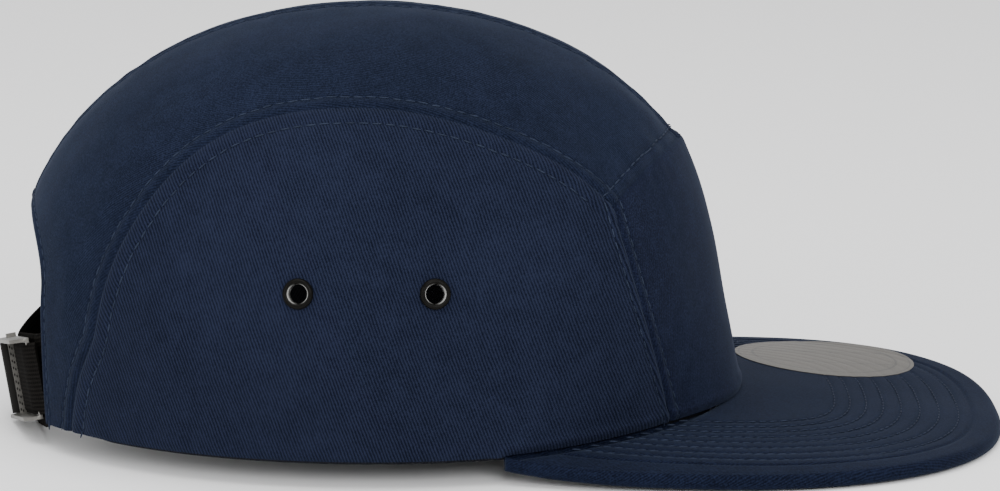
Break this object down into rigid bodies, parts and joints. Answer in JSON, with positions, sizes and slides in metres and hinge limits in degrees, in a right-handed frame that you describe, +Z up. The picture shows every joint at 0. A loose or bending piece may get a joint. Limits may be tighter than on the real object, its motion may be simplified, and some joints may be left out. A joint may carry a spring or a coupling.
{
  "type": "five panel cap",
  "caption": "Soft cap of cotton twill panels with a flat stitched peak, vent eyelets and a webbing strap with a metal cam clip.",
  "frame": {"origin": "centre of the cap's outer box in plan, on the surface it stands on", "axes": "+X towards the tip of the peak, +Y towards the wearer's left, +Z up through the crown"},
  "size_m": [0.2856, 0.165, 0.1198],
  "materials": {
    "crown_twill": "matt navy cotton twill",
    "peak_twill": "matt navy cotton twill over a stiff board, rows of stitching",
    "band_cotton": "matt dark cotton",
    "webbing": "black ribbed nylon webbing",
    "clip_metal": "satin nickel",
    "lever_metal": "black lacquer",
    "eyelet_metal": "glossy black",
    "sticker_foil": "satin silver foil"
  },
  "bodies": {
    "cap": {"side_panel_right": "crown_twill", "side_panel_left": "crown_twill", "top_panel_right": "crown_twill", "top_panel_left": "crown_twill", "front_panel": "crown_twill", "peak": "peak_twill", "sweatband": "band_cotton", "strap_right": "webbing", "strap_left": "webbing", "clip_frame": "clip_metal", "clip_pin": "clip_metal", "eyelet_right_rear": "eyelet_metal", "eyelet_right_front": "eyelet_metal", "eyelet_left_rear": "eyelet_metal", "eyelet_left_front": "eyelet_metal", "peak_sticker": "sticker_foil"},
    "lever": {"clip_lever": "lever_metal"}
  },
  "joints": [
    {"name": "lever_hinge", "type": "hinge", "parent": "cap", "child": "lever", "pos_m": [-0.13796, -0.00117, 0.01294], "axis": [-0.1752, 0.1609, 0.9713], "range_deg": [0, 110]}
  ]
}
